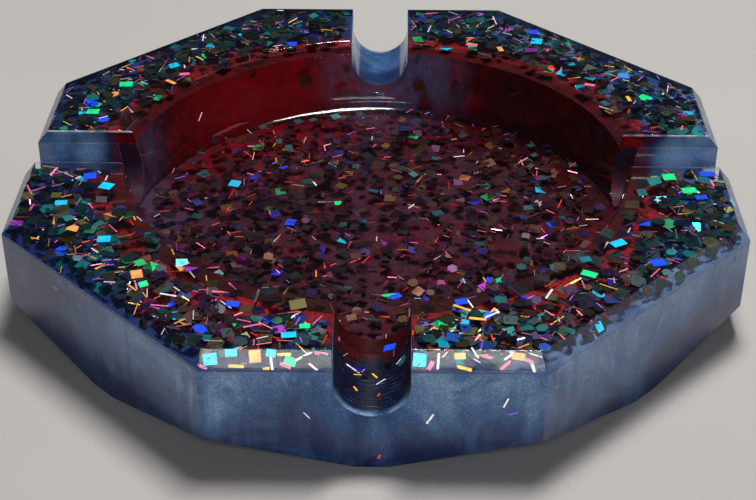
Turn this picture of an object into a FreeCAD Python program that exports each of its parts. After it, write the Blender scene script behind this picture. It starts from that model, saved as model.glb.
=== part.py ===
"""Octagonal ashtray cast in resin: three bonded pours with loose-cast glitter inside them.

The origin is the centre of the base, +Z is up and a flat side with its rest notch faces -Y.
All lengths are millimetres.
"""

import FreeCAD, Part
import Sketcher

import math
import os
import random

SIDES = 8
NOTCHES = 4
HALF_SECTOR = 180.0 / SIDES

SIZES = {
    "across_flats": 110.0,
    "height": 18.4,
    "bevel_inset": 1.8,
    "bevel_height": 2.3,
    "corner_lift": 4.65,
    "base_flat": 4.4,
    "rim_radius": 39.8,
    "floor_radius": 37.4,
    "bowl_depth": 12.3,
    "floor_fillet": 2.6,
    "rim_fillet": 0.7,
    "lining": 3.0,
    "notch_radius": 5.1,
    "notch_depth": 9.6,
    "edge_fillet": 0.3,
    "cut_margin": 2.0,
    "square_side": 1.7,
    "strand_length": 2.6,
    "strand_width": 0.35,
    "foil_thickness": 0.1,
    "foil_spacing": 0.7,
    "foil_cover": 0.5,
    "foil_clearance": 0.3,
}

# How exactly an edge has to match when edges are picked for rounding.
PICK_TOLERANCE = 0.01

# Heights and radii that several pours share, as expressions on the sheet.
TOP = "Sizes.height"
SEAM = "(Sizes.height - Sizes.bevel_height)"
FLOOR = "(Sizes.height - Sizes.bowl_depth)"
WALL_LEAN = "((Sizes.rim_radius - Sizes.floor_radius) / Sizes.bowl_depth)"
WALL_AT_SEAM = f"(Sizes.rim_radius - {WALL_LEAN} * Sizes.bevel_height)"
WALL_ABOVE_TOP = f"(Sizes.rim_radius + {WALL_LEAN} * Sizes.cut_margin)"
WALL_BELOW_SEAM = f"({WALL_AT_SEAM} - {WALL_LEAN} * Sizes.cut_margin)"
CORNER_RADIUS = f"(Sizes.across_flats / 2 / cos({HALF_SECTOR} deg))"

# Each glitter colour is one group of separate foil pieces.
SQUARE_GROUPS = ("teal", "navy", "olive", "black", "green", "blue", "cyan", "copper", "magenta")
STRAND_GROUPS = ("white", "pink", "red", "gold", "violet")
PIECES_IN_RIM = 14
PIECES_IN_FLOOR = 10
GLITTER_SEED = 11
LARGEST_TILT_DEGREES = 9.0


def make_sheet(document):
    """The driving dimensions, one aliased cell each."""
    sheet = document.addObject("Spreadsheet::Sheet", "Sizes")
    for row, (name, value) in enumerate(SIZES.items(), start=1):
        sheet.set(f"A{row}", name)
        sheet.set(f"B{row}", str(value))
        sheet.setAlias(f"B{row}", name)
    document.recompute()
    return sheet


def new_body(document, name):
    body = document.addObject("PartDesign::Body", name)
    body.Label = name
    return body


def origin_feature(body, role):
    """One of the body's own origin planes or axes."""
    return next(feature for feature in body.Origin.OriginFeatures if feature.Role == role)


def new_sketch(body, name, plane, offset=None):
    sketch = body.newObject("Sketcher::SketchObject", name)
    sketch.AttachmentSupport = [(origin_feature(body, plane), "")]
    sketch.MapMode = "FlatFace"
    if offset is not None:
        sketch.AttachmentOffset = offset
    return sketch


def pin_coordinate(sketch, kind, line, name, expression):
    """Ties one coordinate of a line's first point to the sheet, or to the axis where it is zero."""
    if expression == "0":
        axis = -2 if kind == "DistanceX" else -1
        sketch.addConstraint(Sketcher.Constraint("PointOnObject", line, 1, axis))
        return
    start = float(sketch.evalExpression(expression))
    index = sketch.addConstraint(Sketcher.Constraint(kind, -1, 1, line, 1, start))
    sketch.renameConstraint(index, name)
    sketch.setExpression(f"Constraints.{name}", expression)


def closed_outline(sketch, corners):
    """A closed outline of straight lines; each corner is a pair of expressions."""
    start = [
        FreeCAD.Vector(*(float(sketch.evalExpression(text)) for text in corner), 0)
        for corner in corners
    ]
    count = len(corners)
    lines = [
        sketch.addGeometry(Part.LineSegment(start[i], start[(i + 1) % count]), False)
        for i in range(count)
    ]
    for i in range(count):
        sketch.addConstraint(Sketcher.Constraint("Coincident", lines[i - 1], 2, lines[i], 1))
    for i, (across, up) in enumerate(corners):
        pin_coordinate(sketch, "DistanceX", lines[i], f"across_{i}", across)
        pin_coordinate(sketch, "DistanceY", lines[i], f"up_{i}", up)


def octagon_outline(sketch, radius):
    """A regular octagon with flats facing the axes; radius is to its corners."""
    corners = []
    for i in range(SIDES):
        angle = HALF_SECTOR + i * 2 * HALF_SECTOR
        corners.append((f"{radius} * cos({angle} deg)", f"{radius} * sin({angle} deg)"))
    closed_outline(sketch, corners)


def turned_cut(body, name, corners):
    """A groove turned about the vertical axis; corners are radius and height."""
    sketch = new_sketch(body, name + "_outline", "XZ_Plane")
    closed_outline(sketch, corners)
    groove = body.newObject("PartDesign::Groove", name)
    groove.Profile = sketch
    groove.ReferenceAxis = (sketch, ["V_Axis"])
    groove.Angle = 360
    body.Tip = groove
    return groove


def repeat_around(body, feature, count):
    pattern = body.newObject("PartDesign::PolarPattern", feature.Name + "_ring")
    pattern.Originals = [feature]
    pattern.Axis = (origin_feature(body, "Z_Axis"), [""])
    pattern.Angle = 360
    pattern.Occurrences = count
    body.Tip = pattern
    return pattern


def cut_notches(body):
    """Four U-shaped rests, each from the bowl out through the middle of a flat side."""
    sketch = new_sketch(body, body.Name + "_notch_outline", "XZ_Plane")
    radius = float(sketch.evalExpression("Sizes.notch_radius"))
    centre_up = float(sketch.evalExpression("Sizes.height - Sizes.notch_depth + Sizes.notch_radius"))
    mouth_up = float(sketch.evalExpression("Sizes.height + Sizes.cut_margin"))
    left_mouth = FreeCAD.Vector(-radius, mouth_up, 0)
    right_mouth = FreeCAD.Vector(radius, mouth_up, 0)
    left_low = FreeCAD.Vector(-radius, centre_up, 0)
    right_low = FreeCAD.Vector(radius, centre_up, 0)
    circle = Part.Circle(FreeCAD.Vector(0, centre_up, 0), FreeCAD.Vector(0, 0, 1), radius)
    left_wall = sketch.addGeometry(Part.LineSegment(left_mouth, left_low), False)
    bottom = sketch.addGeometry(Part.ArcOfCircle(circle, math.pi, 2 * math.pi), False)
    right_wall = sketch.addGeometry(Part.LineSegment(right_low, right_mouth), False)
    mouth = sketch.addGeometry(Part.LineSegment(right_mouth, left_mouth), False)
    for values in (
        ("Tangent", left_wall, 2, bottom, 1),
        ("Tangent", bottom, 2, right_wall, 1),
        ("Coincident", right_wall, 2, mouth, 1),
        ("Coincident", mouth, 2, left_wall, 1),
        ("Vertical", left_wall),
        ("Horizontal", mouth),
        ("PointOnObject", bottom, 3, -2),
    ):
        sketch.addConstraint(Sketcher.Constraint(*values))
    sizes = (
        ("centre_up", ("DistanceY", -1, 1, bottom, 3, centre_up)),
        ("mouth_up", ("DistanceY", -1, 1, mouth, 1, mouth_up)),
        ("notch_radius", ("Radius", bottom, radius)),
    )
    for name, values in sizes:
        sketch.renameConstraint(sketch.addConstraint(Sketcher.Constraint(*values)), name)
    sketch.setExpression(
        "Constraints.centre_up", "Sizes.height - Sizes.notch_depth + Sizes.notch_radius"
    )
    sketch.setExpression("Constraints.mouth_up", "Sizes.height + Sizes.cut_margin")
    sketch.setExpression("Constraints.notch_radius", "Sizes.notch_radius")
    notch = body.newObject("PartDesign::Pocket", body.Name + "_notch")
    notch.Profile = sketch
    notch.setExpression("Length", "Sizes.across_flats / 2 + Sizes.cut_margin")
    return repeat_around(body, notch, NOTCHES)


def round_edges(body, name, base, wanted, radius):
    """Rounds the edges of a feature that the test picks out."""
    body.Document.recompute()
    picked = [f"Edge{i}" for i, edge in enumerate(base.Shape.Edges, start=1) if wanted(edge)]
    if not picked:
        raise RuntimeError(f"{name} found no edge to round")
    fillet = body.newObject("PartDesign::Fillet", name)
    fillet.Base = (base, picked)
    fillet.setExpression("Radius", radius)
    body.Tip = fillet
    return fillet


def ring_edge_at(height):
    """A test for edges on the turned surface that lie flat at one height."""

    def wanted(edge):
        box = edge.BoundBox
        is_flat = box.ZLength < PICK_TOLERANCE and abs(box.ZMin - height) < PICK_TOLERANCE
        return is_flat and isinstance(edge.Curve, Part.Circle)

    return wanted


def upright_corner_edge(sheet):
    """A test for the eight upright edges where two sides meet."""
    corner_radius = sheet.across_flats / 2 / math.cos(math.radians(HALF_SECTOR))

    def wanted(edge):
        box = edge.BoundBox
        middle = box.Center
        is_upright = box.XLength < PICK_TOLERANCE and box.YLength < PICK_TOLERANCE
        return is_upright and math.hypot(middle.x, middle.y) > corner_radius - PICK_TOLERANCE

    return wanted


def make_pearl_body(document, sheet):
    """The last pour: sides and base, with the lining's seat, the notches and the underside facets."""
    body = new_body(document, "pearl_body")
    outline = new_sketch(body, "pearl_outline", "XY_Plane")
    octagon_outline(outline, CORNER_RADIUS)
    block = body.newObject("PartDesign::Pad", "pearl_block")
    block.Profile = outline
    block.setExpression("Length", SEAM)
    round_edges(body, "pearl_corners", block, upright_corner_edge(sheet), "Sizes.edge_fillet")
    cut_underside_facets(body)
    seat_floor = f"({FLOOR} - Sizes.lining)"
    turned_cut(
        body,
        "lining_seat",
        (
            ("0", seat_floor),
            ("Sizes.floor_radius + Sizes.lining", seat_floor),
            (f"{WALL_AT_SEAM} + Sizes.lining", SEAM),
            (f"{WALL_AT_SEAM} + Sizes.lining", "Sizes.height + Sizes.cut_margin"),
            ("0", "Sizes.height + Sizes.cut_margin"),
        ),
    )
    cut_notches(body)
    return body


def cut_underside_facets(body):
    """Eight sloping facets, one under each corner, which leave a short flat under each mid-side."""
    turn = FreeCAD.Rotation(FreeCAD.Vector(0, 1, 0), HALF_SECTOR)
    plane = FreeCAD.Placement(FreeCAD.Vector(0, 0, 0), turn)
    sketch = new_sketch(body, "facet_outline", "XZ_Plane", plane)
    start = (
        f"(Sizes.across_flats / 2 * cos({HALF_SECTOR} deg)"
        f" + Sizes.base_flat / 2 * sin({HALF_SECTOR} deg))"
    )
    slope = f"(Sizes.corner_lift / ({CORNER_RADIUS} - {start}))"
    reach = f"({CORNER_RADIUS} + Sizes.cut_margin)"
    below = "(-1 * Sizes.cut_margin)"
    closed_outline(
        sketch,
        (
            (f"{start} - Sizes.cut_margin / {slope}", below),
            (reach, below),
            (reach, f"{slope} * ({reach} - {start})"),
        ),
    )
    facet = body.newObject("PartDesign::Pocket", "underside_facet")
    facet.Profile = sketch
    facet.Midplane = True
    facet.setExpression("Length", "Sizes.across_flats")
    repeat_around(body, facet, SIDES)


def make_crimson_bowl(document, sheet):
    """The pour that lines the bowl: a cup with a leaning wall, cut by the notches."""
    body = new_body(document, "crimson_bowl")
    outline = new_sketch(body, "cup_outline", "XZ_Plane")
    closed_outline(
        outline,
        (
            ("0", f"{FLOOR} - Sizes.lining"),
            ("Sizes.floor_radius + Sizes.lining", f"{FLOOR} - Sizes.lining"),
            (f"{WALL_AT_SEAM} + Sizes.lining", SEAM),
            (WALL_AT_SEAM, SEAM),
            ("Sizes.floor_radius", FLOOR),
            ("0", FLOOR),
        ),
    )
    cup = body.newObject("PartDesign::Revolution", "cup")
    cup.Profile = outline
    cup.ReferenceAxis = (outline, ["V_Axis"])
    cup.Angle = 360
    body.Tip = cup
    floor_height = sheet.height - sheet.bowl_depth
    round_edges(body, "floor_round", cup, ring_edge_at(floor_height), "Sizes.floor_fillet")
    cut_notches(body)
    return body


def make_clear_rim(document, sheet):
    """The first pour: the clear layer with the bevelled top face, round the mouth of the bowl."""
    body = new_body(document, "clear_rim")
    low = new_sketch(body, "rim_low_outline", "XY_Plane")
    octagon_outline(low, CORNER_RADIUS)
    low.setExpression("AttachmentOffset.Base.z", SEAM)
    high = new_sketch(body, "rim_high_outline", "XY_Plane")
    octagon_outline(high, f"({CORNER_RADIUS} - Sizes.bevel_inset / cos({HALF_SECTOR} deg))")
    high.setExpression("AttachmentOffset.Base.z", TOP)
    layer = body.newObject("PartDesign::AdditiveLoft", "rim_layer")
    layer.Profile = low
    layer.Sections = [high]
    layer.Ruled = True
    body.Tip = layer
    mouth = turned_cut(
        body,
        "bowl_mouth",
        (
            ("0", f"{SEAM} - Sizes.cut_margin"),
            (WALL_BELOW_SEAM, f"{SEAM} - Sizes.cut_margin"),
            (WALL_ABOVE_TOP, f"{TOP} + Sizes.cut_margin"),
            ("0", f"{TOP} + Sizes.cut_margin"),
        ),
    )
    round_edges(body, "rim_round", mouth, ring_edge_at(sheet.height), "Sizes.rim_fillet")
    cut_notches(body)
    return body


def clear_of_notches(sheet, x, y, margin):
    half_width = sheet.notch_radius + margin
    return abs(x) > half_width and abs(y) > half_width


def rim_spot(sheet, chance, margin):
    """A random place inside the clear layer, away from its edges, the bowl and the notches."""
    reach = sheet.across_flats / 2 - sheet.bevel_inset - margin
    while True:
        x = chance.uniform(-reach, reach)
        y = chance.uniform(-reach, reach)
        inside_corner = (abs(x) + abs(y)) / math.sqrt(2) < reach
        outside_bowl = math.hypot(x, y) > sheet.rim_radius + margin
        if inside_corner and outside_bowl and clear_of_notches(sheet, x, y, margin):
            depth = chance.uniform(sheet.foil_cover, sheet.bevel_height - sheet.foil_cover)
            return FreeCAD.Vector(x, y, sheet.height - depth)


def floor_spot(sheet, chance, margin):
    """A random place inside the bowl's floor."""
    reach = sheet.floor_radius - sheet.floor_fillet - margin
    radius = reach * math.sqrt(chance.random())
    angle = chance.uniform(0, 2 * math.pi)
    depth = chance.uniform(sheet.foil_cover, sheet.lining - sheet.foil_cover)
    floor_height = sheet.height - sheet.bowl_depth
    return FreeCAD.Vector(radius * math.cos(angle), radius * math.sin(angle), floor_height - depth)


def foil_piece(length, width, thickness, spot, chance):
    """One flat piece of foil, centred on its spot, turned at random and tilted a little."""
    centred = FreeCAD.Vector(-length / 2, -width / 2, -thickness / 2)
    piece = Part.makeBox(length, width, thickness, centred)
    spin = FreeCAD.Rotation(FreeCAD.Vector(0, 0, 1), chance.uniform(0, 360))
    towards = chance.uniform(0, 2 * math.pi)
    tilt_axis = FreeCAD.Vector(math.cos(towards), math.sin(towards), 0)
    tilt = FreeCAD.Rotation(tilt_axis, chance.uniform(0, LARGEST_TILT_DEGREES))
    piece.Placement = FreeCAD.Placement(spot, tilt.multiply(spin))
    return piece


def make_glitter(document, sheet, name, length, width, taken, chance):
    """One colour of glitter: separate foil pieces set in the clear layer and in the bowl's floor."""
    margin = math.hypot(length, width) / 2 + sheet.foil_clearance
    near = sheet.square_side + sheet.foil_spacing
    pieces = []
    for find_spot, count in ((rim_spot, PIECES_IN_RIM), (floor_spot, PIECES_IN_FLOOR)):
        placed = 0
        while placed < count:
            spot = find_spot(sheet, chance, margin)
            if all(math.hypot(spot.x - x, spot.y - y) > near for x, y in taken):
                taken.append((spot.x, spot.y))
                pieces.append(foil_piece(length, width, sheet.foil_thickness, spot, chance))
                placed += 1
    group = document.addObject("Part::Feature", name)
    group.Label = name
    group.Shape = Part.makeCompound(pieces)
    return group


def check_and_write(document, parts):
    """Stops on a failed feature or a bad shape, then writes each sub-part to its own file."""
    document.recompute()
    failed = [o.Name for o in document.Objects if {"Invalid", "Error"} & set(o.State)]
    if failed:
        raise RuntimeError(f"failed features: {failed}")
    for part in parts:
        if part.Shape.isNull() or not part.Shape.isValid():
            raise RuntimeError(f"{part.Label} has no valid shape")
    for part in parts:
        part.Shape.exportStep(f"parts/{part.Label}.step")
        box = part.Shape.BoundBox
        print(
            f"{part.Label}: {len(part.Shape.Solids)} solids, {part.Shape.Volume:.1f} mm3, "
            f"z {box.ZMin:.2f} to {box.ZMax:.2f}"
        )


def main():
    os.makedirs("parts", exist_ok=True)
    document = FreeCAD.newDocument("glitter_resin_ashtray")
    sheet = make_sheet(document)
    parts = [
        make_pearl_body(document, sheet),
        make_crimson_bowl(document, sheet),
        make_clear_rim(document, sheet),
    ]
    chance = random.Random(GLITTER_SEED)
    taken = []
    square = (sheet.square_side, sheet.square_side)
    strand = (sheet.strand_length, sheet.strand_width)
    for colours, form, size in ((SQUARE_GROUPS, "squares", square), (STRAND_GROUPS, "strands", strand)):
        for colour in colours:
            name = f"{colour}_{form}"
            parts.append(make_glitter(document, sheet, name, *size, taken, chance))
    check_and_write(document, parts)


main()
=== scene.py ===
"""Cast resin ashtray: materials and fine glitter round the CAD frame, in metres."""

import math
import random

import bpy
from mathutils import Matrix, Vector


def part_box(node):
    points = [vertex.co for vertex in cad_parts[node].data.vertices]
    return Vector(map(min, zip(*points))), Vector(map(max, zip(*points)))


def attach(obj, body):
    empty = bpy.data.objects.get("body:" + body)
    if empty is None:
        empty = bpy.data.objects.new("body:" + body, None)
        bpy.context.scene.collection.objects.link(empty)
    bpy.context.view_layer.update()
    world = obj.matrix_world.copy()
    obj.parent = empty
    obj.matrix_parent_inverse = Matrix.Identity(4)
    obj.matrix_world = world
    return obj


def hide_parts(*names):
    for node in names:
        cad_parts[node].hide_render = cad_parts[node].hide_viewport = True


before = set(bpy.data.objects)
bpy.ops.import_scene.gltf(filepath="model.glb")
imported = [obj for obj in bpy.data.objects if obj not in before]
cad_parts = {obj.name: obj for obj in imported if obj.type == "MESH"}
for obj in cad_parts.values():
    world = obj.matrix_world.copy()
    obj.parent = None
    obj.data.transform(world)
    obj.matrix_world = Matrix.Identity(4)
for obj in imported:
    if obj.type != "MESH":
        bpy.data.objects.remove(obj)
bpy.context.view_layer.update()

MM = 0.001
SEED = 7

# Sizes read from the frame.
RIM_LOW, RIM_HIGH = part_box("clear_rim")
CUP_LOW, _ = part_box("crimson_bowl")
APOTHEM = RIM_HIGH[0]
TOP = RIM_HIGH[2]
SEAM = RIM_LOW[2]
BASE_OF_LINING = CUP_LOW[2]

# Sizes that the CAD part was made with.
BEVEL_INSET = 1.8 * MM
LINING = 3.0 * MM
RIM_RADIUS = 39.8 * MM
RIM_ROUND = 0.3 * MM
FLOOR_RADIUS = 37.4 * MM
NOTCH_RADIUS = 5.1 * MM
NOTCH_DROP = 4.5 * MM  # from the top to the centre of a rest's round bottom

# Sizes that follow from those.
BEVEL_HEIGHT = TOP - SEAM
BEVEL_NORMAL = Vector((0, -BEVEL_HEIGHT, BEVEL_INSET)).normalized()
NOTCH_CENTRE = TOP - NOTCH_DROP
FLOOR = BASE_OF_LINING + LINING
WALL_SLOPE = (RIM_RADIUS - FLOOR_RADIUS) / (TOP - FLOOR)
SEAT_LOW_RADIUS = FLOOR_RADIUS + LINING

# The hair's breadth between faces that would otherwise lie in one plane, and the slack of comparisons.
SKIN = 0.05 * MM


def wall_radius(z):
    """The bowl's wall radius at a height."""
    return FLOOR_RADIUS + WALL_SLOPE * (z - FLOOR)


SEAT_SLOPE = (wall_radius(SEAM) + LINING - SEAT_LOW_RADIUS) / (SEAM - BASE_OF_LINING)


def seat_radius(z):
    """The radius at a height of the hollow in the pearl that holds the crimson lining."""
    return SEAT_LOW_RADIUS + SEAT_SLOPE * (z - BASE_OF_LINING)


# ---------------------------------------------------------------- node helpers

NOISE_ROUGHNESS = 0.55


class Shader:
    """A material's node tree with short calls for the nodes used here."""

    def __init__(self, name):
        self.material = bpy.data.materials.new(name)
        self.material.use_nodes = True
        self.tree = self.material.node_tree
        self.tree.nodes.clear()
        self.output = self.add("ShaderNodeOutputMaterial")
        self.coordinates = self.add("ShaderNodeTexCoord").outputs["Object"]
        self.geometry = self.add("ShaderNodeNewGeometry")
        split = self.add("ShaderNodeSeparateXYZ")
        self.put(split.inputs[0], self.coordinates)
        self.x, self.y, self.z = split.outputs
        self.radius = self.length(self.x, self.y)

    def add(self, kind, **settings):
        """A new node with the given settings."""
        node = self.tree.nodes.new(kind)
        for key, value in settings.items():
            setattr(node, key, value)
        return node

    def put(self, socket, value):
        """Sets a socket to a number or colour, or links it to another socket."""
        if isinstance(value, bpy.types.NodeSocket):
            self.tree.links.new(value, socket)
        else:
            socket.default_value = value

    def math(self, operation, a, b=0.0, c=0.0):
        """The result of one arithmetic step on numbers or sockets."""
        node = self.add("ShaderNodeMath", operation=operation)
        for socket, value in zip(node.inputs, (a, b, c)):
            self.put(socket, value)
        return node.outputs[0]

    def product(self, first, *others):
        """The values multiplied together."""
        for other in others:
            first = self.math("MULTIPLY", first, other)
        return first

    def total(self, first, *others):
        """The values added up."""
        for other in others:
            first = self.math("ADD", first, other)
        return first

    def opposite(self, mask):
        """0 where the mask is 1, and 1 where it is 0."""
        return self.math("SUBTRACT", 1.0, mask)

    def length(self, a, b):
        """The long side of a right triangle whose short sides are a and b."""
        return self.math("SQRT", self.total(self.product(a, a), self.product(b, b)))

    def ramp_between(self, value, low, high, to_low=0.0, to_high=1.0):
        """Smooth change from to_low at low to to_high at high."""
        node = self.add("ShaderNodeMapRange", interpolation_type="SMOOTHSTEP")
        for socket, v in zip(node.inputs, (value, low, high, to_low, to_high)):
            self.put(socket, v)
        return node.outputs[0]

    def noise(self, size, detail=3.0, distortion=0.0, shift=(0, 0, 0), squeeze=(1, 1, 1)):
        """Noise whose features are about size metres across."""
        mapping = self.add("ShaderNodeMapping")
        self.put(mapping.inputs["Vector"], self.coordinates)
        self.put(mapping.inputs["Location"], shift)
        self.put(mapping.inputs["Scale"], squeeze)
        node = self.add("ShaderNodeTexNoise")
        self.put(node.inputs["Vector"], mapping.outputs[0])
        self.put(node.inputs["Scale"], 1.0 / size)
        self.put(node.inputs["Detail"], detail)
        self.put(node.inputs["Roughness"], NOISE_ROUGHNESS)
        self.put(node.inputs["Distortion"], distortion)
        return node.outputs["Fac"]

    def colours(self, value, stops):
        """A colour ramp; stops are pairs of place and colour."""
        node = self.add("ShaderNodeValToRGB")
        elements = node.color_ramp.elements
        while len(elements) < len(stops):
            elements.new(0.5)
        for element, (place, colour) in zip(elements, stops):
            element.position = place
            element.color = (*colour, 1.0)
        self.put(node.inputs[0], value)
        return node.outputs[0]

    def mix(self, factor, a, b, blend="MIX"):
        """Colour a where the factor is 0 and colour b, or a blended with it, where it is 1."""
        node = self.add("ShaderNodeMix", data_type="RGBA", blend_type=blend)
        self.put(node.inputs[0], factor)
        self.put(node.inputs[6], a if isinstance(a, bpy.types.NodeSocket) else (*a, 1.0))
        self.put(node.inputs[7], b if isinstance(b, bpy.types.NodeSocket) else (*b, 1.0))
        return node.outputs[2]

    def near(self, place_mm, inner_mm, outer_mm):
        """1 within inner of a place, falling to 0 at outer."""
        node = self.add("ShaderNodeVectorMath", operation="DISTANCE")
        self.put(node.inputs[0], self.coordinates)
        self.put(node.inputs[1], [v * MM for v in place_mm])
        return self.ramp_between(node.outputs["Value"], inner_mm * MM, outer_mm * MM, 1.0, 0.0)

    def near_any(self, spots):
        """The sum of near() over several spots."""
        return self.total(*(self.near(*spot) for spot in spots))

    def out_and_across(self):
        """How far a place is from the axis along the nearer pair of rests, and how far off their middle."""
        x = self.math("ABSOLUTE", self.x)
        y = self.math("ABSOLUTE", self.y)
        return self.math("MAXIMUM", x, y), self.math("MINIMUM", x, y)

    def cone(self, radius, height, slope):
        """The radius, at each place's height, of a cone that has the given radius at the given height."""
        return self.math("MULTIPLY_ADD", self.z, slope, radius - slope * height)

    def camera_ray(self):
        """1 for what the camera sees directly, and 0 for what light meets on its way."""
        return self.add("ShaderNodeLightPath").outputs[0]

    def bump(self, height, strength, distance, normal):
        """The given normal, bent by a height."""
        node = self.add("ShaderNodeBump")
        self.put(node.inputs["Height"], height)
        self.put(node.inputs["Strength"], strength)
        self.put(node.inputs["Distance"], distance)
        self.put(node.inputs["Normal"], normal)
        return node.outputs[0]

    def principled(self, **values):
        """A principled surface; an underscore in a name stands for a space."""
        node = self.add("ShaderNodeBsdfPrincipled")
        for key, value in values.items():
            self.put(node.inputs[key.replace("_", " ")], value)
        return node.outputs[0]

    def blend(self, factor, a, b):
        """Surface a where the factor is 0 and surface b where it is 1."""
        node = self.add("ShaderNodeMixShader")
        for socket, value in zip(node.inputs, (factor, a, b)):
            self.put(socket, value)
        return node.outputs[0]

    def finish(self, surface):
        """The material, with this surface."""
        self.put(self.output.inputs["Surface"], surface)
        return self.material


# ---------------------------------------------------------------- resin colours

NAVY = (0.004, 0.014, 0.075)
SLATE = (0.036, 0.096, 0.225)
MIST = (0.170, 0.270, 0.420)
# Pale blue of the painted sheen on the far walls of the side rests.
SHEEN_PEARL = (0.280, 0.400, 0.560)
# White of the painted highlight along the top edges of the side rests.
EDGE_HIGHLIGHT_WHITE = (0.850, 0.870, 0.920)
BLACK_RED = (0.014, 0.0006, 0.0015)
WINE = (0.065, 0.001, 0.003)
DEEP_RED = (0.100, 0.0012, 0.003)
CRIMSON = (0.290, 0.002, 0.008)
SMOKE = (0.075, 0.105, 0.215)
DARK_SMOKE = (0.020, 0.016, 0.036)
PLUM = (0.038, 0.017, 0.036)
STAIN = (0.060, 0.002, 0.007)
INK = (0.0015, 0.0035, 0.016)
CLEAR_TINT = (0.96, 0.975, 0.985)
CRIMSON_TINT = (0.98, 0.86, 0.88)
CLEAR_ROUGHNESS = 0.06
CRIMSON_ROUGHNESS = 0.08

# What the colour of pearl is multiplied by in fine specks, a painted glint of its mica.
SHIMMER = (1.5, 1.55, 1.6)

# Spots that look different from the resin round them. Each is a place in mm, the distance up to which
# it shows in full, and the distance at which it is gone.
LEFT_SHADOW = ((-47, -30, 11), 6, 28)
RIGHT_SHADOW = ((46, -32, 3), 6, 20)
PALE_CORNER = ((-24, -54, 10), 1.5, 6)
FRONT_REST = ((0, -46, 12), 8, 11)
MATT_FRONT_REST = ((0, -47, 12), 8, 12)
BACK_REST = ((0, 45, 10), 7, 9)
# Painted sheen on the far walls of the side rests.
SHEEN_PATCHES = (((-46.8, 5, 14.2), 0.5, 3.6), ((47.9, 5, 14.2), 0.5, 4.5))
RED_SPREADS = (((24, -38, SEAM / MM), 8, 24), ((-20, -41, SEAM / MM), 6, 22))
STAINED_CORNERS = (((26, -36, TOP / MM), 8, 20), ((-22, -39, TOP / MM), 6, 18))
SMOKE_DRIFTS = (((-40, 4, 10), 4, 20), ((3, 42, 11), 5, 17))
DARK_WALL_LEFT = ((-42, 6, 10), 6, 22)
DARK_WALL_RIGHT = ((32, 28, 10), 8, 30)
BRIGHT_WALL = ((-22, 35, 12), 6, 24)

# The distance from one painted glint arc in a rest to the next.
ARC_SPACING = 0.8 * MM


def pearl_colour(s):
    """Cloudy slate-blue mica, darker and bluer near the base, with upright streaks."""
    cloud = s.noise(15 * MM, detail=5, distortion=1.4)
    streaks = s.noise(4 * MM, distortion=0.6, squeeze=(1.0, 1.0, 0.18))
    level = s.total(s.product(cloud, 0.75), s.product(streaks, 0.45))
    level = s.total(level, s.ramp_between(s.z, 0.5 * MM, SEAM, -0.23, 0.05))
    puffs = s.ramp_between(s.noise(5 * MM, detail=4, distortion=1.5, shift=(0.2, 0.0, 0.3)), 0.52, 0.72)
    level = s.total(level, s.product(puffs, s.ramp_between(s.z, 8 * MM, 13.5 * MM), 0.16))
    for shadow, depth in ((LEFT_SHADOW, 0.20), (RIGHT_SHADOW, 0.08)):
        level = s.math("SUBTRACT", level, s.product(s.near(*shadow), depth))
    level = s.total(level, s.product(s.near(*PALE_CORNER), s.ramp_between(streaks, 0.4, 0.6, 0.0, 0.2)))
    return s.colours(level, ((0.34, NAVY), (0.56, SLATE), (0.86, MIST)))


def red_colour(s, shift):
    """Crimson dye with darker and lighter wisps."""
    wisps = s.noise(8 * MM, detail=5, distortion=2.2, shift=shift)
    return s.colours(wisps, ((0.34, BLACK_RED), (0.52, DEEP_RED), (0.72, CRIMSON)))


def rest_glints(s):
    """How pale the painted glints in a rest are: fine arcs across its round bottom and a pale lip at its
    outer end.
    """
    out, across = s.out_and_across()
    down = s.math("SUBTRACT", s.z, NOTCH_CENTRE)
    in_rest = s.math("LESS_THAN", s.length(across, down), NOTCH_RADIUS + 2 * SKIN)
    at_bottom = s.product(in_rest, s.math("LESS_THAN", down, -1 * MM))
    wander = s.noise(3 * MM, shift=(0.7, 0.1, 0.2))
    turns = s.product(s.math("MULTIPLY_ADD", wander, 1.5 * MM, out), 2 * math.pi / ARC_SPACING)
    broken = s.ramp_between(s.noise(2.2 * MM, detail=2, shift=(0.3, 0.3, 0.9)), 0.48, 0.66)
    arcs = s.product(s.ramp_between(s.math("SINE", turns), 0.85, 1.0), broken)
    arcs = s.product(arcs, s.ramp_between(out, 43 * MM, 46 * MM))
    outer_lip_glint = s.product(s.ramp_between(out, APOTHEM - 1.2 * MM, APOTHEM), s.ramp_between(wander, 0.35, 0.6))
    return s.product(at_bottom, s.math("MAXIMUM", s.product(arcs, 0.25), s.product(outer_lip_glint, 0.8)))


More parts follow.
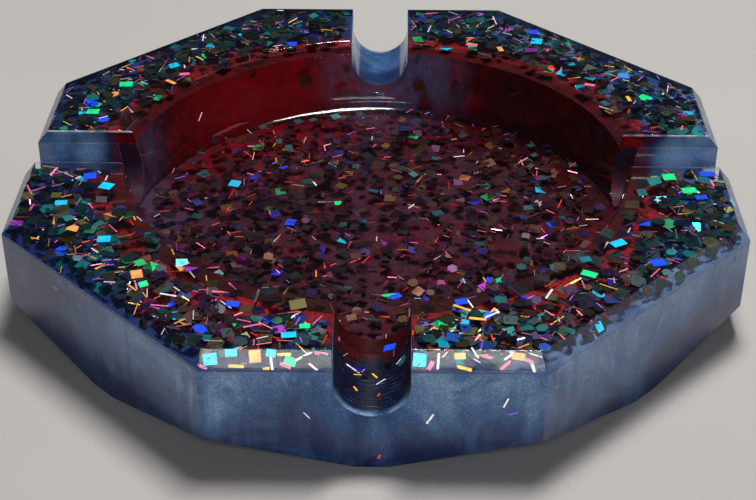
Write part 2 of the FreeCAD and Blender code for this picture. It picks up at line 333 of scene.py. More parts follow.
def rim_colour(s):
    """Pearl that turns navy and then red towards the bowl, under the clear layer and in the rests."""
    _, across = s.out_and_across()
    beside_rests = s.math("GREATER_THAN", across, NOTCH_RADIUS + SKIN)
    on_top = s.product(s.ramp_between(s.z, SEAM - 0.2 * MM, SEAM - 0.1 * MM), beside_rests)
    front = s.near(*FRONT_REST)
    above_base = s.ramp_between(s.z, 2.6 * MM, 3.0 * MM)
    wander = s.math("SUBTRACT", s.noise(13 * MM, distortion=1.0, shift=(0.1, 0.2, 0.0)), 0.5)
    spread = s.near_any(RED_SPREADS)
    edge = s.total(s.radius, s.product(wander, 14 * MM))
    edge = s.math("SUBTRACT", edge, s.product(on_top, 4.0 * MM))
    edge = s.math("SUBTRACT", edge, s.product(spread, 6.0 * MM))
    red = s.product(s.ramp_between(edge, 42.0 * MM, 45.0 * MM, 1.0, 0.0), above_base)
    red = s.math("SUBTRACT", red, s.product(red, s.near(*BACK_REST)))
    dark = s.product(s.ramp_between(edge, 43 * MM, 47 * MM, 0.85, 0.0), above_base)
    shaded = s.product(s.ramp_between(s.x, 5 * MM, 30 * MM, 0.9, 0.45), on_top)
    pearl = s.mix(s.math("MAXIMUM", dark, shaded), pearl_colour(s), NAVY)
    # Painted sheen on the far walls of the side rests.
    pearl = s.mix(s.near_any(SHEEN_PATCHES), pearl, SHEEN_PEARL)
    in_front_rest = s.product(front, s.opposite(on_top))
    dye = s.mix(s.product(in_front_rest, 0.8), red_colour(s, (0.3, 0.1, 0.0)), BLACK_RED)
    dye = s.mix(s.product(spread, on_top, 0.6), dye, CRIMSON)
    # MIST here is the painted glints in the rests.
    return s.mix(rest_glints(s), s.mix(red, s.mix(front, pearl, INK), dye), MIST)


def bowl_colour(s):
    """Crimson with smoky drifts at the left and the back, darker at both sides, plum on the floor."""
    drift = s.noise(11 * MM, detail=5, distortion=2.0, shift=(0.0, 0.4, 0.2))
    streaks = s.noise(3 * MM, distortion=0.5, squeeze=(1.0, 1.0, 0.2))
    smoke = s.product(s.near_any(SMOKE_DRIFTS), s.ramp_between(s.total(drift, streaks), 0.70, 1.1))
    dark = s.math("MAXIMUM", s.near(*DARK_WALL_RIGHT), s.product(s.near(*DARK_WALL_LEFT), 0.8))
    colour = s.mix(s.product(s.near(*BRIGHT_WALL), 0.6), red_colour(s, (0.6, 0.2, 0.1)), CRIMSON)
    colour = s.mix(s.product(dark, 0.8), colour, BLACK_RED)
    colour = s.mix(smoke, colour, SMOKE)
    on_floor = s.ramp_between(s.z, BASE_OF_LINING + 0.5 * MM, BASE_OF_LINING + 1.0 * MM, 1.0, 0.0)
    colour = s.mix(s.product(on_floor, 0.55), colour, BLACK_RED)
    haze = s.ramp_between(drift, 0.38, 0.62, 0.35, 1.0)
    haze = s.product(haze, s.ramp_between(s.radius, 24 * MM, 36 * MM, 1.0, 0.1))
    return s.mix(s.product(on_floor, haze), colour, PLUM)


def fine_grain(s):
    """A faint casting texture and softly rounded edges, as a bent normal."""
    rounded = s.add("ShaderNodeBevel", samples=6)
    s.put(rounded.inputs["Radius"], 0.35 * MM)
    grain = s.noise(1.1 * MM, detail=2)
    waves = s.noise(9 * MM, detail=1)
    return s.bump(waves, 0.25, 0.5 * MM, s.bump(grain, 0.12, 0.05 * MM, rounded.outputs[0]))


def pearl_material():
    """Opaque mica resin; the hollow of the bowl and the face under the clear layer show their own dyes."""
    s = Shader("pearl_resin")
    in_hollow = s.math("LESS_THAN", s.radius, s.cone(SEAT_LOW_RADIUS + SKIN, BASE_OF_LINING, SEAT_SLOPE))
    in_seat = s.product(in_hollow, s.math("GREATER_THAN", s.z, BASE_OF_LINING - SKIN))
    covered = s.math("MAXIMUM", in_seat, s.math("GREATER_THAN", s.z, SEAM - SKIN))
    polished = s.opposite(s.math("MAXIMUM", covered, s.near(*MATT_FRONT_REST)))
    shimmer = s.noise(0.3 * MM, detail=1)
    colour = s.mix(in_seat, rim_colour(s), bowl_colour(s))
    # Painted glints of the mica in fine specks.
    colour = s.mix(s.ramp_between(shimmer, 0.35, 0.7), colour, SHIMMER, blend="MULTIPLY")
    surface = s.principled(
        Base_Color=colour,
        Metallic=s.product(polished, 0.3),
        Roughness=s.ramp_between(shimmer, 0.3, 0.7, 0.36, 0.5),
        Normal=fine_grain(s),
        Specular_IOR_Level=0.2,
        Coat_Weight=polished,
        Coat_Roughness=0.08,
    )
    return s.finish(surface)


def distance_to_side(s):
    """How far a place is from the axis towards the side of the octagon that it is nearest to."""
    out, across = s.out_and_across()
    return s.math("MAXIMUM", out, s.product(s.total(out, across), math.sqrt(0.5)))


def edges_of_clear_layer(s):
    """Where the clear layer isn't clear, and its colour there.

    Its outer edge seen from inside and its cut faces in the rests show the pearl that resin bends into
    view, and a painted highlight runs as a broken white line along the top edges of the side rests.
    """
    behind = s.geometry.outputs["Backfacing"]
    at_edge = s.math("GREATER_THAN", distance_to_side(s), APOTHEM - BEVEL_INSET + SKIN)
    outer = s.product(at_edge, behind)
    _, across = s.out_and_across()
    cut = s.product(s.math("LESS_THAN", across, NOTCH_RADIUS + SKIN), s.opposite(behind))
    pearly = s.product(s.math("MAXIMUM", outer, cut), s.camera_ray())
    # A painted highlight: a broken white line along the top edges of the side rests, strongest at the far
    # edge.
    in_side_rest = s.math("LESS_THAN", s.math("ABSOLUTE", s.y), NOTCH_RADIUS + 2 * SKIN)
    painted_edge_line = s.product(in_side_rest, s.math("GREATER_THAN", s.z, TOP - 5 * SKIN))
    broken = s.ramp_between(s.noise(3 * MM, detail=2, shift=(0.4, 0.8, 0.1)), 0.35, 0.6, 0.2, 0.8)
    painted_edge_line = s.product(painted_edge_line, broken, s.ramp_between(s.y, 0.0, 2 * MM, 0.3, 1.0))
    return s.math("MAXIMUM", pearly, painted_edge_line), s.mix(painted_edge_line, rim_colour(s), EDGE_HIGHLIGHT_WHITE)


def ends_of_lining(s):
    """Where the lining is too dark to see into, and its colour there.

    That is its top and the faces that the rests cut through it.
    """
    behind_wall = s.math("GREATER_THAN", s.radius, s.cone(FLOOR_RADIUS + 2 * SKIN, FLOOR, WALL_SLOPE))
    cut = s.product(behind_wall, s.math("GREATER_THAN", s.z, FLOOR + RIM_ROUND))
    seen = s.product(s.opposite(s.geometry.outputs["Backfacing"]), s.camera_ray())
    wisps = s.noise(5 * MM, detail=5, distortion=2.0, shift=(0.2, 0.5, 0.1))
    red = s.colours(wisps, ((0.36, BLACK_RED), (0.56, WINE), (0.75, DEEP_RED)))
    red = s.mix(s.ramp_between(s.y, -30 * MM, -20 * MM, 0.6, 0.0), red, BLACK_RED)
    in_rest = s.math("LESS_THAN", s.z, SEAM - SKIN)
    smoky = s.product(in_rest, s.ramp_between(wisps, 0.4, 0.6, 0.9, 0.3))
    smoky = s.product(smoky, s.ramp_between(s.y, -20 * MM, -10 * MM))
    return s.product(cut, seen), s.mix(smoky, red, DARK_SMOKE)


def see_through(name, tint, roughness, highest, find_solid_part):
    """Clear resin with a gloss skin where it meets the air, below the highest place, and a solid part."""
    s = Shader(name)
    clear = s.add("ShaderNodeBsdfTransparent")
    s.put(clear.inputs["Color"], (*tint, 1.0))
    gloss = s.add("ShaderNodeBsdfGlossy")
    normal = fine_grain(s)
    s.put(gloss.inputs["Roughness"], roughness)
    s.put(gloss.inputs["Normal"], normal)
    fresnel = s.add("ShaderNodeFresnel")
    s.put(fresnel.inputs["IOR"], 1.5)
    s.put(fresnel.inputs["Normal"], normal)
    in_air = s.math("LESS_THAN", s.z, highest)
    in_air = s.product(s.opposite(s.geometry.outputs["Backfacing"]), in_air)
    skin = s.blend(s.product(fresnel.outputs[0], in_air), clear.outputs[0], gloss.outputs[0])
    solid, colour = find_solid_part(s)
    opaque = s.principled(Base_Color=colour, Roughness=0.5, Specular_IOR_Level=0.1)
    return s.finish(s.blend(solid, skin, opaque))


def off_the_seam(place):
    """Lifts the underside of the clear layer off the pours below it."""
    if place.z < SEAM + SKIN:
        return place + Vector((0, 0, SKIN))
    return place


def off_the_seat(place):
    """Draws the back of the crimson lining in from the pearl that holds it."""
    radius = math.hypot(place.x, place.y)
    moved = place.copy()
    if radius > seat_radius(place.z) - SKIN:
        moved.x *= 1 - SKIN / radius
        moved.y *= 1 - SKIN / radius
    if place.z < BASE_OF_LINING + SKIN:
        moved.z += SKIN
    return moved


def replace_pour(node, name, material, shifted):
    """A clear pour whose hidden faces stand a hair's breadth off the pour behind them."""
    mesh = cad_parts[node].data.copy()
    mesh.name = name
    for vertex in mesh.vertices:
        vertex.co = shifted(vertex.co)
    mesh.materials.clear()
    mesh.materials.append(material)
    piece = bpy.data.objects.new(name, mesh)
    bpy.context.scene.collection.objects.link(piece)
    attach(piece, "root")
    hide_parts(node)


# ---------------------------------------------------------------- foil and tinsel

# For each foil: the dull and the bright end of its colours, and the share of its pieces that are bright and
# glow, a painted glint.
FOILS = {
    "teal": ((0.003, 0.045, 0.050), (0.010, 0.240, 0.250), 0.25),
    "navy": ((0.003, 0.012, 0.060), (0.008, 0.060, 0.300), 0.20),
    "olive": ((0.050, 0.045, 0.015), (0.170, 0.150, 0.045), 0.20),
    "black": ((0.001, 0.002, 0.004), (0.006, 0.030, 0.040), 0.20),
    "green": ((0.006, 0.110, 0.060), (0.010, 0.850, 0.260), 0.60),
    "blue": ((0.004, 0.020, 0.150), (0.010, 0.080, 1.000), 0.60),
    "cyan": ((0.005, 0.110, 0.140), (0.010, 0.620, 0.900), 0.60),
    "copper": ((0.090, 0.035, 0.010), (0.950, 0.400, 0.100), 0.35),
    "magenta": ((0.060, 0.006, 0.045), (0.420, 0.050, 0.520), 0.35),
}
TINSELS = {
    "white": ((0.110, 0.085, 0.100), (0.900, 0.780, 0.820), 0.38),
    "pink": ((0.090, 0.022, 0.045), (0.900, 0.160, 0.300), 0.42),
    "red": ((0.100, 0.008, 0.006), (0.950, 0.050, 0.030), 0.36),
    "gold": ((0.090, 0.045, 0.012), (1.000, 0.520, 0.080), 0.38),
    "violet": ((0.035, 0.012, 0.080), (0.360, 0.150, 0.850), 0.34),
}


# A colour's share up to which it is a dull one, and how brightly the pieces of either sort glow at most.
DULL_SHARE = 0.25
DULL_GLOW = 0.25
BRIGHT_GLOW = 0.8

# What the colour of foil is multiplied by where its surface wavers, on dull and on bright pieces.
DULL_WAVER = (0.45, 0.5, 0.55)
BRIGHT_WAVER = (0.5, 0.6, 0.7)


def foil_material(name, dull, bright, share):
    """Foil whose pieces differ: most stay dull, some are bright and glow, a painted glint."""
    s = Shader(name)
    chance = s.geometry.outputs["Random Per Island"]
    middle = tuple(0.4 * a + 0.16 * b for a, b in zip(dull, bright))
    colour = s.colours(
        chance, ((0.0, dull), (0.75 - share / 2, middle), (1.0 - share, middle), (1.0 - share / 2, bright))
    )
    sheen = s.noise(1.3 * MM, detail=2)
    colour = s.mix(s.ramp_between(sheen, 0.3, 0.7, 0.0, 0.6), colour, DULL_WAVER, blend="MULTIPLY")
    # The glow is emission, a painted glint on the pieces that stand out.
    strongest = BRIGHT_GLOW if share > DULL_SHARE else DULL_GLOW
    glow = s.ramp_between(chance, 1.0 - share, 1.0 - share / 3, 0.0, strongest)
    in_bowl = s.math("LESS_THAN", s.z, FLOOR)
    in_red = s.math("MAXIMUM", s.ramp_between(s.radius, 42 * MM, 48 * MM, 0.5, 0.0), in_bowl)
    in_red = s.math("MAXIMUM", in_red, s.product(s.near_any(STAINED_CORNERS), 0.8))
    stained = s.product(in_red, s.math("MULTIPLY_ADD", glow, -0.4, 0.42))
    colour = s.mix(stained, colour, STAIN)
    surface = s.principled(
        Base_Color=colour,
        Metallic=0.7,
        Roughness=s.ramp_between(sheen, 0.2, 0.8, 0.25, 0.45),
        Emission_Color=colour,
        Emission_Strength=glow,
    )
    return s.finish(surface)


def shine_material(name, colour):
    """Foil that glows all over, a painted glint, with a slight waver."""
    s = Shader(name)
    waver = s.noise(0.9 * MM, detail=2)
    shade = s.mix(s.ramp_between(waver, 0.35, 0.65, 0.0, 0.8), colour, BRIGHT_WAVER, blend="MULTIPLY")
    surface = s.principled(
        Base_Color=shade,
        Metallic=0.5,
        Roughness=s.ramp_between(waver, 0.2, 0.8, 0.25, 0.4),
        Emission_Color=shade,
        Emission_Strength=0.7,
    )
    return s.finish(surface)


# ---------------------------------------------------------------- where glitter lies

# How far under the surface the pieces lie.
RIM_DEPTHS = (0.15 * MM, 1.2 * MM)
BEVEL_DEPTHS = (0.12 * MM, 0.4 * MM)
FLOOR_DEPTHS = (0.15 * MM, 1.5 * MM)
WALL_DEPTHS = (0.2 * MM, LINING / 2)

# Glitter is sparse within this distance of the bowl: only this share of the places there is used.
SPARSE_RIM = 6 * MM
SPARSE_SHARE = 0.25

# Glitter of the floor reaches this far under the foot of the wall.
FLOOR_OVERRUN = 1.5 * MM

# How far glitter reaches along one of the eight sides either way from its middle, in apothems.
BEVEL_REACH = 0.5
SIDE_REACH = 0.36

# Glitter in the front rest: how far out from the bowl, and round from the bottom either way in radians.
REST_REACH = (1.0 * MM, 7.0 * MM)
REST_TURN = 1.4


def clear_of_notches(place):
    """True beside the four rests."""
    x, y, _ = place
    return abs(x) > NOTCH_RADIUS + SKIN and abs(y) > NOTCH_RADIUS + SKIN


def inside_rim(place):
    """True well inside the clear layer."""
    x, y, z = place
    reach = APOTHEM - BEVEL_INSET * (z - SEAM) / BEVEL_HEIGHT - SKIN
    in_octagon = max(abs(x), abs(y), (abs(x) + abs(y)) / math.sqrt(2)) < reach
    in_layer = SEAM + 2 * SKIN < z < TOP - SKIN
    return in_octagon and in_layer and math.hypot(x, y) > RIM_RADIUS + RIM_ROUND and clear_of_notches(place)


def inside_floor(place):
    """True well inside the crimson lining under the bowl's floor."""
    x, y, z = place
    in_circle = math.hypot(x, y) < FLOOR_RADIUS + FLOOR_OVERRUN
    return in_circle and BASE_OF_LINING + 2 * SKIN < z < FLOOR - SKIN


def inside_wall(place):
    """True well inside the crimson lining behind the bowl's wall."""
    x, y, z = place
    in_lining = wall_radius(z) + SKIN < math.hypot(x, y) < seat_radius(z) - 2 * SKIN
    return in_lining and FLOOR < z < SEAM - SKIN and clear_of_notches(place)


def anywhere(place):
    """True everywhere, for pieces that lie on a surface."""
    return True


def rim_place(chance):
    """A place and a normal in the clear layer."""
    while True:
        x, y = (chance.uniform(-APOTHEM, APOTHEM) for _ in range(2))
        if math.hypot(x, y) > RIM_RADIUS + SPARSE_RIM or chance.random() < SPARSE_SHARE:
            return Vector((x, y, TOP - chance.uniform(*RIM_DEPTHS))), Vector((0, 0, 1))


def on_front_bevel(along, down):
    """The place on the front's sloping edge this far across and this share of the way down."""
    return Vector((along, -APOTHEM + BEVEL_INSET * (1 - down), TOP - BEVEL_HEIGHT * down))


def random_side(chance):
    """The turn from the front to any one of the eight sides."""
    return Matrix.Rotation(chance.randrange(8) * math.pi / 4, 3, "Z")


def bevel_place(chance):
    """A place and a normal just under the sloping edge of the clear layer."""
    down = chance.uniform(0.1, 0.9)
    edge = on_front_bevel(chance.uniform(-BEVEL_REACH, BEVEL_REACH) * APOTHEM, down)
    turn = random_side(chance)
    return turn @ (edge - BEVEL_NORMAL * chance.uniform(*BEVEL_DEPTHS)), turn @ BEVEL_NORMAL


def floor_place(chance):
    """A place and a normal under the bowl's floor."""
    radius = (FLOOR_RADIUS + FLOOR_OVERRUN) * math.sqrt(chance.random())
    angle = chance.uniform(0, 2 * math.pi)
    z = FLOOR - chance.uniform(*FLOOR_DEPTHS)
    return Vector((radius * math.cos(angle), radius * math.sin(angle), z)), Vector((0, 0, 1))


def wall_place(chance):
    """A place and a normal in the lining behind the bowl's wall."""
    angle = chance.uniform(0, 2 * math.pi)
    z = chance.uniform(FLOOR, SEAM)
    radius = wall_radius(z) + chance.uniform(*WALL_DEPTHS)
    inward = Vector((-math.cos(angle), -math.sin(angle), 0))
    return Vector((0, 0, z)) - inward * radius, inward


def on_front_rest(out, angle):
    """A place this far out on the front rest and this far round from its bottom, and its normal."""
    up = Vector((-math.sin(angle), 0, math.cos(angle)))
    return Vector((0, -out, NOTCH_CENTRE)) - up * (NOTCH_RADIUS - 2 * SKIN), up


def rest_place(chance):
    """A place and a normal on the round bottom of the front rest, in the half next to the bowl."""
    angle = chance.uniform(-REST_TURN, REST_TURN)
    return on_front_rest(RIM_RADIUS + chance.uniform(*REST_REACH), angle)


def side_place(chance):
    """A place and a normal on one of the eight sides, at the very surface."""
    turn = random_side(chance)
    along = chance.uniform(-SIDE_REACH, SIDE_REACH) * APOTHEM
    height = chance.uniform(6 * MM, SEAM - 1 * MM)
    while abs(along) < NOTCH_RADIUS + 1 * MM:
        along = chance.uniform(-SIDE_REACH, SIDE_REACH) * APOTHEM
    return turn @ Vector((along, -APOTHEM, height)), turn @ Vector((0, -1, 0))


# ---------------------------------------------------------------- shapes of glitter

FOIL_THICKNESS = 0.04 * MM

# Lengths and widths of the pieces, in mm.
STRAND_LENGTHS = (1.0, 2.6)
STRAND_WIDTHS = (0.11, 0.22)
SQUARE_SIDES = (1.2, 2.3)

# The squares' shorter side as a share of the longer one, the share of them that are hexagons instead,
# and a hexagon's width as a share of a square's.
SQUARE_SHARES = (0.72, 1.0)
HEXAGON_SHARE = 0.35
HEXAGON_WIDTH = 1.08


def rectangle(length, width):
    """The corners of a rectangle about its centre."""
    return [(a * length / 2, b * width / 2) for a, b in ((-1, -1), (1, -1), (1, 1), (-1, 1))]


def outline(kind, chance):
    """The corners of one piece, about its centre, in its own plane."""
    if kind == "strand":
        length = chance.uniform(*STRAND_LENGTHS) * MM
        return rectangle(length, chance.uniform(*STRAND_WIDTHS) * MM)
    side = chance.uniform(*SQUARE_SIDES) * MM
    if chance.random() < HEXAGON_SHARE:
        radius = side / 2 * HEXAGON_WIDTH
        return [(radius * math.cos(math.pi * k / 3), radius * math.sin(math.pi * k / 3)) for k in range(6)]
    return rectangle(side, side * chance.uniform(*SQUARE_SHARES))


def prism(place, normal, corners, spin):
    """The corners of a thin prism, first its lower face and then its upper one."""
    turn = normal.to_track_quat("Z", "Y").to_matrix() @ Matrix.Rotation(spin, 3, "Z")
    half = FOIL_THICKNESS / 2
    return [place + turn @ Vector((x, y, side * half)) for side in (-1, 1) for x, y in corners]


def add_prism(vertices, faces, points):
    """Adds one closed prism to the lists of a mesh."""
    first = len(vertices)
    count = len(points) // 2
    vertices.extend(points)
    faces.append([first + k for k in reversed(range(count))])
    faces.append([first + count + k for k in range(count)])
    for k in range(count):
        after = (k + 1) % count
        faces.append([first + k, first + after, first + count + after, first + count + k])


def add_piece(name, vertices, faces, material):
    """A piece of the visual model with one material."""
    mesh = bpy.data.meshes.new(name)
    mesh.from_pydata(vertices, [], faces)
    mesh.materials.append(material)
    piece = bpy.data.objects.new(name, mesh)
    bpy.context.scene.collection.objects.link(piece)
    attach(piece, "root")


# ---------------------------------------------------------------- fine glitter

# How a piece is placed, where it has to stay, its size and its tilt: rim, bevel, floor, wall, rest, side.
REGIONS = (
    (rim_place, inside_rim, 1.0, 1.0),
    (bevel_place, inside_rim, 0.7, 0.3),
    (floor_place, inside_floor, 0.85, 1.0),
    (wall_place, inside_wall, 1.0, 0.3),
    (rest_place, anywhere, 0.75, 0.1),
    (side_place, anywhere, 0.6, 0.0),
)

# Pieces of each colour in the rim, its bevel, the floor, the wall, the front rest and the sides; the
# squares have no count for the sides, so none lie there.
SQUARE_COUNTS = {
    "teal": (440, 70, 250, 0, 2),
    "navy": (340, 60, 210, 0, 2),
    "olive": (190, 30, 170, 0, 1),
    "black": (240, 50, 420, 0, 6),
    "green": (20, 3, 4, 0, 0),
    "blue": (22, 3, 8, 0, 1),
    "cyan": (18, 10, 2, 0, 0),
    "copper": (22, 6, 8, 5, 0),
    "magenta": (10, 2, 5, 0, 1),
}
STRAND_COUNTS = {
    "white": (380, 30, 110, 2, 3, 16),
    "pink": (320, 24, 180, 3, 2, 4),
    "red": (150, 8, 230, 6, 3, 4),
    "gold": (210, 16, 80, 2, 1, 0),
    "violet": (180, 8, 110, 1, 1, 2),
}


def scatter(kind, counts, chance, largest_tilt):
    """One glitter colour spread through every region; a piece that would stick out is drawn again."""
    vertices, faces = [], []
    for (find_place, inside, size, tilt_share), count in zip(REGIONS, counts):
        for _ in range(count):
            corners = [(x * size, y * size) for x, y in outline(kind, chance)]
            fits = False
            while not fits:
                place, normal = find_place(chance)
                tilt = Vector([chance.gauss(0, largest_tilt / 2) for _ in range(3)]) * tilt_share
                points = prism(place, (normal + tilt).normalized(), corners, chance.uniform(0, 2 * math.pi))
                fits = all(inside(point) for point in points)
            add_prism(vertices, faces, points)
    return vertices, faces


def give_material(node, material):
    """Puts a material on a piece that came with the frame."""
    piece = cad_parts[node]
    slots = piece.material_slots
    for slot in slots:
        slot.material = material
    if not slots:
        piece.data.materials.append(material)


def make_glitter():
    """A material for each colour, on its CAD pieces and on its fine glitter."""
    chance = random.Random(SEED)
    families = (
        ("square", FOILS, SQUARE_COUNTS, "foil", 0.25),
        ("strand", TINSELS, STRAND_COUNTS, "tinsel", 0.30),
    )
    for kind, colours, counts, slot_word, tilt in families:
        for colour, (dull, bright, share) in colours.items():
            slot = f"{colour}_{slot_word}"
            node = f"{colour}_{kind}s"
            material = foil_material(slot, dull, bright, share)
            give_material(node, material)
            vertices, faces = scatter(kind, counts[colour], chance, tilt)
            add_piece(f"fine_{node}", vertices, faces, material)


# ---------------------------------------------------------------- bright pieces

# The showiest pieces, each with its colour, length and width in mm and, last, its turn in degrees.
# On the front bevel the place is across in mm and a share of the way down, on the top it is x and y
# in mm, in the front rest it is out from the axis in mm and round from the bottom in degrees, and on
# the front side it is across and up in mm.
BEVEL_PIECES = (
    ("cyan", -21.0, 0.50, 2.0, 1.7, 8),
    ("cyan", -18.3, 0.20, 1.7, 1.1, 3),
    ("copper", -15.2, 0.35, 1.7, 1.8, 4),
    ("cyan", -13.1, 0.20, 1.4, 1.1, -8),
    ("green", -10.6, 0.55, 1.7, 1.2, -20),
    ("gold", -17.6, 0.80, 2.2, 0.45, -2),
    ("gold", -11.4, 0.25, 2.0, 0.40, 2),
    ("pink", -11.2, 0.75, 1.7, 0.50, -22),
    ("pink", -21.9, 0.85, 1.2, 0.45, -25),
    ("pink", -6.6, 0.20, 1.9, 0.45, -8),
    ("white", -13.0, 0.70, 2.1, 0.35, -80),
    ("white", -9.0, 0.35, 2.4, 0.30, 28),
    ("white", -7.6, 0.80, 1.6, 0.30, -38),
    ("gold", -13.7, 0.93, 1.0, 0.60, 12),
    ("cyan", 6.2, 0.45, 1.9, 1.9, -4),
    ("white", 8.6, 0.50, 2.3, 0.35, 86),
    ("pink", 7.6, 0.70, 1.4, 0.60, 62),
    ("gold", 12.0, 0.80, 2.1, 0.45, -14),
    ("pink", 15.1, 0.30, 1.9, 0.40, -12),
    ("pink", 17.3, 0.65, 1.9, 0.40, 42),
    ("white", 17.6, 0.30, 1.8, 0.35, 34),
    ("white", 20.9, 0.75, 1.9, 0.40, -72),
    ("pink", 20.4, 0.45, 1.3, 0.50, -30),
    ("copper", 11.4, 0.26, 1.6, 0.9, 4),
    ("copper", 19.0, 0.26, 1.9, 1.0, -6),
)
TOP_PIECES = (
    ("blue", -44, -9, 1.9, 1.7, 10),
    ("cyan", -41, -12, 2.0, 1.8, -20),
    ("cyan", -47, -17, 1.8, 1.2, 5),
    ("cyan", -39, -27, 1.9, 1.6, 5),
    ("copper", -33, -36, 1.6, 2.0, 15),
    ("blue", -19, -43, 1.8, 1.2, -10),
    ("cyan", -11, -50, 2.0, 1.2, 6),
    ("green", -9, -48, 1.4, 1.0, 4),
    ("blue", 3, -40.9, 1.6, 1.0, 30),
    ("green", 45, -8, 1.9, 1.8, 5),
    ("green", 47.5, -12, 2.2, 1.5, 8),
    ("blue", 51, -7, 2.2, 1.4, -5),
    ("blue", 49, -14, 1.8, 1.1, 8),
    ("cyan", 35, -27, 2.2, 1.5, 30),
    ("blue", 40, -32, 2.0, 1.6, 15),
    ("green", 30, -35, 2.2, 1.3, -25),
    ("blue", 12, -42, 1.7, 1.3, 15),
    ("green", -43, 22, 2.2, 1.7, 5),
    ("green", -47, 12, 2.0, 1.6, 0),
    ("blue", 28, 44, 1.8, 1.5, 20),
    ("gold", 12, -43.5, 2.6, 0.4, -30),
    ("gold", 14, -46, 2.3, 0.5, -8),
    ("white", 16, -45, 2.4, 0.3, 35),
    ("pink", -16, -48, 2.4, 0.3, 20),
    ("white", 24, -40, 2.4, 0.3, 65),
    ("white", -28, -41, 2.4, 0.3, -15),
    ("copper", -35.5, 23, 2.2, 0.7, -40),
    ("pink", -33.5, 26, 1.8, 0.9, 10),
    ("pink", 16.5, 38.5, 2.0, 1.1, -20),
    ("copper", 21.5, 36.8, 0.9, 1.8, 10),
    ("red", 30, 29.5, 0.9, 1.6, 15),
    ("pink", 36, 23, 1.8, 0.8, -20),
    ("gold", 42, 18, 0.6, 1.8, 10),
)
REST_PIECES = (
    ("blue", 40.6, 27, 1.8, 1.2, -15),
    ("white", 45.9, -33, 2.4, 0.25, -12),
    ("gold", 46.4, 3, 1.2, 0.22, -55),
    ("white", 45.0, 46, 1.2, 0.14, 25),
    ("white", 47.9, 13, 1.5, 0.14, 35),
    ("gold", 50.0, -27, 0.8, 0.25, -50),
    ("red", 50.7, 10, 0.6, 0.22, 60),
)
SIDE_PIECES = (
    ("white", 7.7, 8.4, 1.8, 0.25, 60),
    ("white", 17.6, 11.2, 1.6, 0.20, 68),
    ("white", -8.6, 8.8, 1.3, 0.12, -50),
    ("red", 1.0, 1.8, 0.7, 0.25, 70),
)

# Bright pieces on the bevel are drawn this much smaller, so that they stay inside it.
BEVEL_SHRINK = 0.9


def bevel_showpiece(along, down, length, width, turn):
    """The corners of a bright piece just under the front bevel."""
    place = on_front_bevel(along * MM, down) - BEVEL_NORMAL * 3 * SKIN
    corners = rectangle(length * MM * BEVEL_SHRINK, width * MM * BEVEL_SHRINK)
    return prism(place, BEVEL_NORMAL, corners, math.radians(turn))


def top_showpiece(x, y, length, width, turn):
    """The corners of a bright piece just under the top."""
    place = Vector((x * MM, y * MM, TOP - 2 * SKIN))
    return prism(place, Vector((0, 0, 1)), rectangle(length * MM, width * MM), math.radians(turn))


def rest_showpiece(out, round_by, length, width, turn):
    """The corners of a bright piece on the front rest."""
    angle = math.radians(round_by)
    place, up = on_front_rest(out * MM, angle)
    spin = math.radians(turn) + math.copysign(math.pi / 2, angle)
    return prism(place, up, rectangle(length * MM, width * MM), spin)


def side_showpiece(x, z, length, width, turn):
    """The corners of a bright piece on the front side."""
    place = Vector((x * MM, -APOTHEM, z * MM))
    return prism(place, Vector((0, -1, 0)), rectangle(length * MM, width * MM), math.radians(turn))


def make_showpieces():
    """The brightest pieces, one mesh for each colour."""
    meshes = {}
    groups = (
        (BEVEL_PIECES, bevel_showpiece),
        (TOP_PIECES, top_showpiece),
        (REST_PIECES, rest_showpiece),
        (SIDE_PIECES, side_showpiece),
    )
    for pieces, find_corners in groups:
        for colour, *measures in pieces:
            add_prism(*meshes.setdefault(colour, ([], [])), find_corners(*measures))
    for colour, (vertices, faces) in meshes.items():
        family, word = (FOILS, "foil") if colour in FOILS else (TINSELS, "tinsel")
        _, bright, _ = family[colour]
        slot = f"{colour}_{word}"
        add_piece(f"bright_{slot}", vertices, faces, shine_material(f"bright_{slot}", bright))


# ---------------------------------------------------------------- stage, lights and camera

FLOOR_SHADES = ((0.3, (0.400, 0.382, 0.368)), (0.7, (0.423, 0.405, 0.391)))
FLOOR_REACH = 3.0
ROOM_LIGHT = (0.80, 0.86, 1.0, 1.0)
ROOM_STRENGTH = 0.045


def make_floor():
    """A plain pale floor, far wider than the picture."""
    s = Shader("pale_floor")
    colour = s.colours(s.noise(60 * MM, detail=2), FLOOR_SHADES)
    material = s.finish(s.principled(Base_Color=colour, Roughness=0.9))
    mesh = bpy.data.meshes.new("floor")
    corners = [(x, y, 0) for x, y in rectangle(2 * FLOOR_REACH, 2 * FLOOR_REACH)]
    mesh.from_pydata(corners, [], [(0, 1, 2, 3)])
    mesh.materials.append(material)
    floor = bpy.data.objects.new("floor", mesh)
    bpy.context.scene.collection.objects.link(floor)


def add_area_light(name, place, width, height, power, colour):
    """A rectangular lamp that faces the middle of the dish, its sizes in metres and its power in watts."""
    light = bpy.data.lights.new(name, "AREA")
    light.shape = "RECTANGLE"
    light.size = width
    light.size_y = height
    light.energy = power
    light.color = colour
    lamp = bpy.data.objects.new(name, light)
    lamp.location = place
    lamp.rotation_euler = (Vector(place) - Vector((0, 0, TOP / 2))).to_track_quat("Z", "Y").to_euler()
    bpy.context.scene.collection.objects.link(lamp)


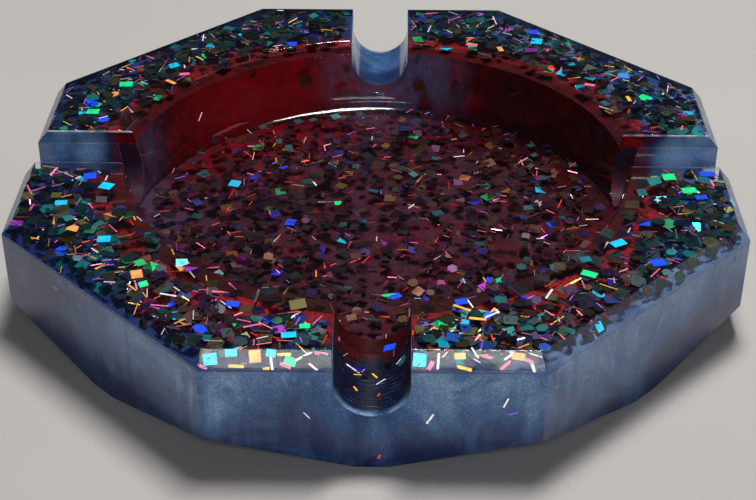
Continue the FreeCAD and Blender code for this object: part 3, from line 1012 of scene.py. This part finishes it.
def make_lights():
    """One main light above, three weak ones at the front and the side, and a dim room."""
    add_area_light("overhead", (0.06, 0.15, 0.62), 0.14, 0.22, 4.9, (1.0, 0.985, 0.96))
    add_area_light("front_window", (0.0, -0.49, 0.426), 0.30, 0.07, 0.44, (0.95, 0.98, 1.0))
    add_area_light("low_fill", (0.06, -0.60, 0.12), 0.30, 0.16, 0.82, (0.93, 0.97, 1.0))
    add_area_light("side_window", (0.50, -0.05, 0.24), 0.16, 0.16, 0.08, (0.85, 0.93, 1.0))
    world = bpy.data.worlds.new("soft_room")
    world.use_nodes = True
    background = world.node_tree.nodes["Background"]
    background.inputs[0].default_value = ROOM_LIGHT
    background.inputs[1].default_value = ROOM_STRENGTH
    bpy.context.scene.world = world


def make_camera():
    """Looks down on the dish from close in front of it, with a slight roll."""
    azimuth, elevation, roll = (math.radians(v) for v in (0.57, 32.94, 0.16))
    target = Vector((0.5 * MM, -29.5 * MM, TOP))
    distance = 221.8 * MM
    level = math.cos(elevation)
    back = Vector((math.sin(azimuth) * level, -math.cos(azimuth) * level, math.sin(elevation)))
    level_right = Vector((math.cos(azimuth), math.sin(azimuth), 0))
    level_up = back.cross(level_right)
    right = math.cos(roll) * level_right + math.sin(roll) * level_up
    up = back.cross(right)
    data = bpy.data.cameras.new("camera")
    data.sensor_width = 36.0
    data.lens = 74.19
    data.clip_start = 0.01
    camera = bpy.data.objects.new("camera", data)
    turn = Matrix((right, up, back)).transposed().to_4x4()
    camera.matrix_world = Matrix.Translation(target + back * distance) @ turn
    bpy.context.scene.collection.objects.link(camera)
    bpy.context.scene.camera = camera


give_material("pearl_body", pearl_material())
clear_resin = see_through("clear_resin", CLEAR_TINT, CLEAR_ROUGHNESS, TOP + SKIN, edges_of_clear_layer)
crimson_resin = see_through(
    "crimson_resin", CRIMSON_TINT, CRIMSON_ROUGHNESS, SEAM - SKIN, ends_of_lining
)
replace_pour("clear_rim", "clear_layer", clear_resin, off_the_seam)
replace_pour("crimson_bowl", "crimson_lining", crimson_resin, off_the_seat)
make_glitter()
make_showpieces()
make_floor()
make_lights()
make_camera()
bpy.context.scene.view_settings.view_transform = "Standard"
